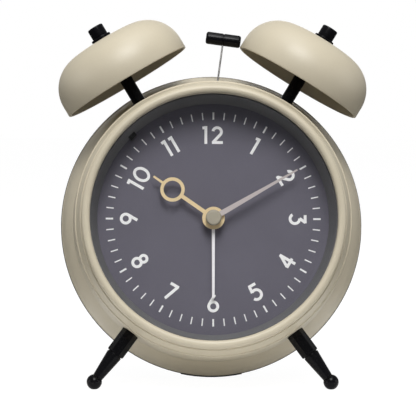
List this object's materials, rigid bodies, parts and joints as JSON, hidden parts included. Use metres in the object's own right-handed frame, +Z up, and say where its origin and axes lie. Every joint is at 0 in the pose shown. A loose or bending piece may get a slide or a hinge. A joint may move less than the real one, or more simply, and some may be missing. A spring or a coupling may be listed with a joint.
{
  "type": "alarm clock",
  "caption": "Round twin-bell alarm clock with painted drum case, dark dial, ring-tipped hour hand, motor-driven hammer between the bells, black legs and rear setting knobs.",
  "frame": {"origin": "middle of the clock's width and depth, on the surface that it stands on", "axes": "+Z up, -Y towards the person reading the dial, +X to the right as the dial is read"},
  "size_m": [0.1194, 0.0694, 0.1399],
  "materials": {
    "sand_paint": "satin powder coat",
    "black_metal": "satin black",
    "glass": "clear flat glass",
    "gasket": "matt",
    "ring_plastic": "fine matt",
    "dial_paint": "matt dark grey",
    "dial_print": "matt white ink",
    "hour_hand_paint": "matt cream",
    "minute_hand_paint": "satin pale grey",
    "alarm_hand_paint": "matt white",
    "black_plastic": "moulded, fine texture",
    "sand_plastic": "moulded satin",
    "movement_plastic": "moulded natural",
    "steel": "plated",
    "brass": "turned",
    "board": "solder resist",
    "copper": "enamelled wire",
    "cell_jacket": "printed film",
    "wire_jacket": "insulation"
  },
  "bodies": {
    "clock": {"case_shell": "sand_paint", "bezel_ring": "sand_paint", "front_glass": "glass", "glass_gasket": "gasket", "dial_ring": "ring_plastic", "dial_plate": "dial_paint", "minute_track": "dial_print", "dial_numerals": "dial_print", "lamp_holder": "black_plastic", "bell_left": "sand_paint", "bell_right": "sand_paint", "bell_stem_left": "black_metal", "bell_stem_right": "black_metal", "bell_nut_left": "black_metal", "bell_nut_right": "black_metal", "leg_left": "black_metal", "leg_right": "black_metal", "stud_nuts": "steel", "rear_cover": "black_plastic", "cover_screws": "steel", "battery_upper": "cell_jacket", "battery_lower": "cell_jacket", "battery_contacts": "steel", "movement_front": "movement_plastic", "movement_rear": "movement_plastic", "train_bridge": "brass", "centre_nut": "steel", "circuit_board": "board", "board_parts": "black_plastic", "coil": "copper", "stator": "steel", "striker_bracket": "steel", "bell_motor": "steel", "hammer_pin": "steel", "lead_wires": "wire_jacket"},
    "minute": {"minute_arbor": "brass", "minute_hand": "minute_hand_paint", "hand_cap": "sand_plastic"},
    "hour": {"hour_wheel": "movement_plastic", "hour_hand": "hour_hand_paint"},
    "minute_work": {"minute_work_wheel": "movement_plastic"},
    "time_setting": {"time_knob": "black_plastic", "time_shaft": "steel"},
    "alarm": {"alarm_wheel": "movement_plastic", "alarm_hand": "alarm_hand_paint"},
    "alarm_setting": {"alarm_knob": "black_plastic", "alarm_shaft": "steel"},
    "train_centre": {"centre_wheel": "brass"},
    "train_third": {"third_wheel": "brass"},
    "train_second": {"second_wheel": "brass"},
    "train_rotor": {"rotor": "steel"},
    "striker": {"striker_gear": "movement_plastic"},
    "motor_shaft": {"motor_pinion": "brass"},
    "hammer": {"hammer_lever": "steel", "hammer_wire": "steel", "hammer_head": "black_metal"},
    "alarm_switch": {"alarm_switch": "black_plastic"},
    "light_button": {"light_button": "sand_plastic"},
    "battery_door": {"battery_door": "black_plastic"}
  },
  "joints": [
    {"name": "minute_turn", "type": "hinge", "parent": "clock", "child": "minute", "pos_m": [0, -0.01271, 0.06417], "axis": [0, 0.9892, -0.1468], "continuous": true},
    {"name": "hour_turn", "type": "hinge", "parent": "clock", "child": "hour", "pos_m": [0, -0.01271, 0.06417], "axis": [0, 0.9892, -0.1468], "continuous": true},
    {"name": "minute_work_turn", "type": "hinge", "parent": "clock", "child": "minute_work", "pos_m": [-0.00267, -0.01443, 0.05259], "axis": [0, 0.9892, -0.1468], "continuous": true},
    {"name": "time_knob_turn", "type": "hinge", "parent": "clock", "child": "time_setting", "pos_m": [-0.014, -0.01385, 0.0565], "axis": [0, 0.9892, -0.1468], "continuous": true},
    {"name": "alarm_turn", "type": "hinge", "parent": "clock", "child": "alarm", "pos_m": [0, -0.01271, 0.06417], "axis": [0, 0.9892, -0.1468], "continuous": true},
    {"name": "alarm_knob_turn", "type": "hinge", "parent": "clock", "child": "alarm_setting", "pos_m": [0.014, -0.01385, 0.0565], "axis": [0, 0.9892, -0.1468], "continuous": true},
    {"name": "rotor_turn", "type": "hinge", "parent": "clock", "child": "train_rotor", "pos_m": [-0.01349, -0.01155, 0.07197], "axis": [0, 0.9892, -0.1468], "continuous": true},
    {"name": "second_wheel_turn", "type": "hinge", "parent": "clock", "child": "train_second", "pos_m": [-0.00362, -0.01102, 0.07552], "axis": [0, 0.9892, -0.1468], "continuous": true},
    {"name": "third_wheel_turn", "type": "hinge", "parent": "clock", "child": "train_third", "pos_m": [0.0072, -0.01145, 0.07265], "axis": [0, 0.9892, -0.1468], "continuous": true},
    {"name": "centre_wheel_turn", "type": "hinge", "parent": "clock", "child": "train_centre", "pos_m": [0, -0.01271, 0.06417], "axis": [0, 0.9892, -0.1468], "continuous": true},
    {"name": "striker_turn", "type": "hinge", "parent": "clock", "child": "striker", "pos_m": [0, -0.00845, 0.09285], "axis": [0, 0.9892, -0.1468], "continuous": true},
    {"name": "motor_turn", "type": "hinge", "parent": "clock", "child": "motor_shaft", "pos_m": [0.0105, -0.00845, 0.09285], "axis": [0, 0.9892, -0.1468], "continuous": true},
    {"name": "hammer_swing", "type": "hinge", "parent": "clock", "child": "hammer", "pos_m": [0, 0.00701, 0.10168], "axis": [0, 0.9892, -0.1468], "range_deg": [-15.2, 0]},
    {"name": "alarm_switch_slide", "type": "slide", "parent": "clock", "child": "alarm_switch", "axis": [1, 0, 0], "range_m": [0, 0.005]},
    {"name": "light_button_press", "type": "slide", "parent": "clock", "child": "light_button", "axis": [0, -0.9892, 0.1468], "range_m": [0, 0.0012], "stiffness_N_per_m": 800, "springref_m": -0.0004},
    {"name": "battery_door_pull", "type": "slide", "parent": "clock", "child": "battery_door", "axis": [0, 0.9892, -0.1468], "range_m": [0, 0.02]}
  ],
  "couplings": [
    {"joint": "hour_turn", "follows": "minute_turn", "ratio": 0.083333},
    {"joint": "minute_work_turn", "follows": "minute_turn", "ratio": -0.33333},
    {"joint": "time_knob_turn", "follows": "minute_turn", "ratio": 1},
    {"joint": "alarm_knob_turn", "follows": "alarm_turn", "ratio": -3},
    {"joint": "second_wheel_turn", "follows": "rotor_turn", "ratio": -0.2},
    {"joint": "third_wheel_turn", "follows": "rotor_turn", "ratio": 0.033333},
    {"joint": "centre_wheel_turn", "follows": "rotor_turn", "ratio": -0.0055556},
    {"joint": "motor_turn", "follows": "striker_turn", "ratio": -3.2}
  ]
}
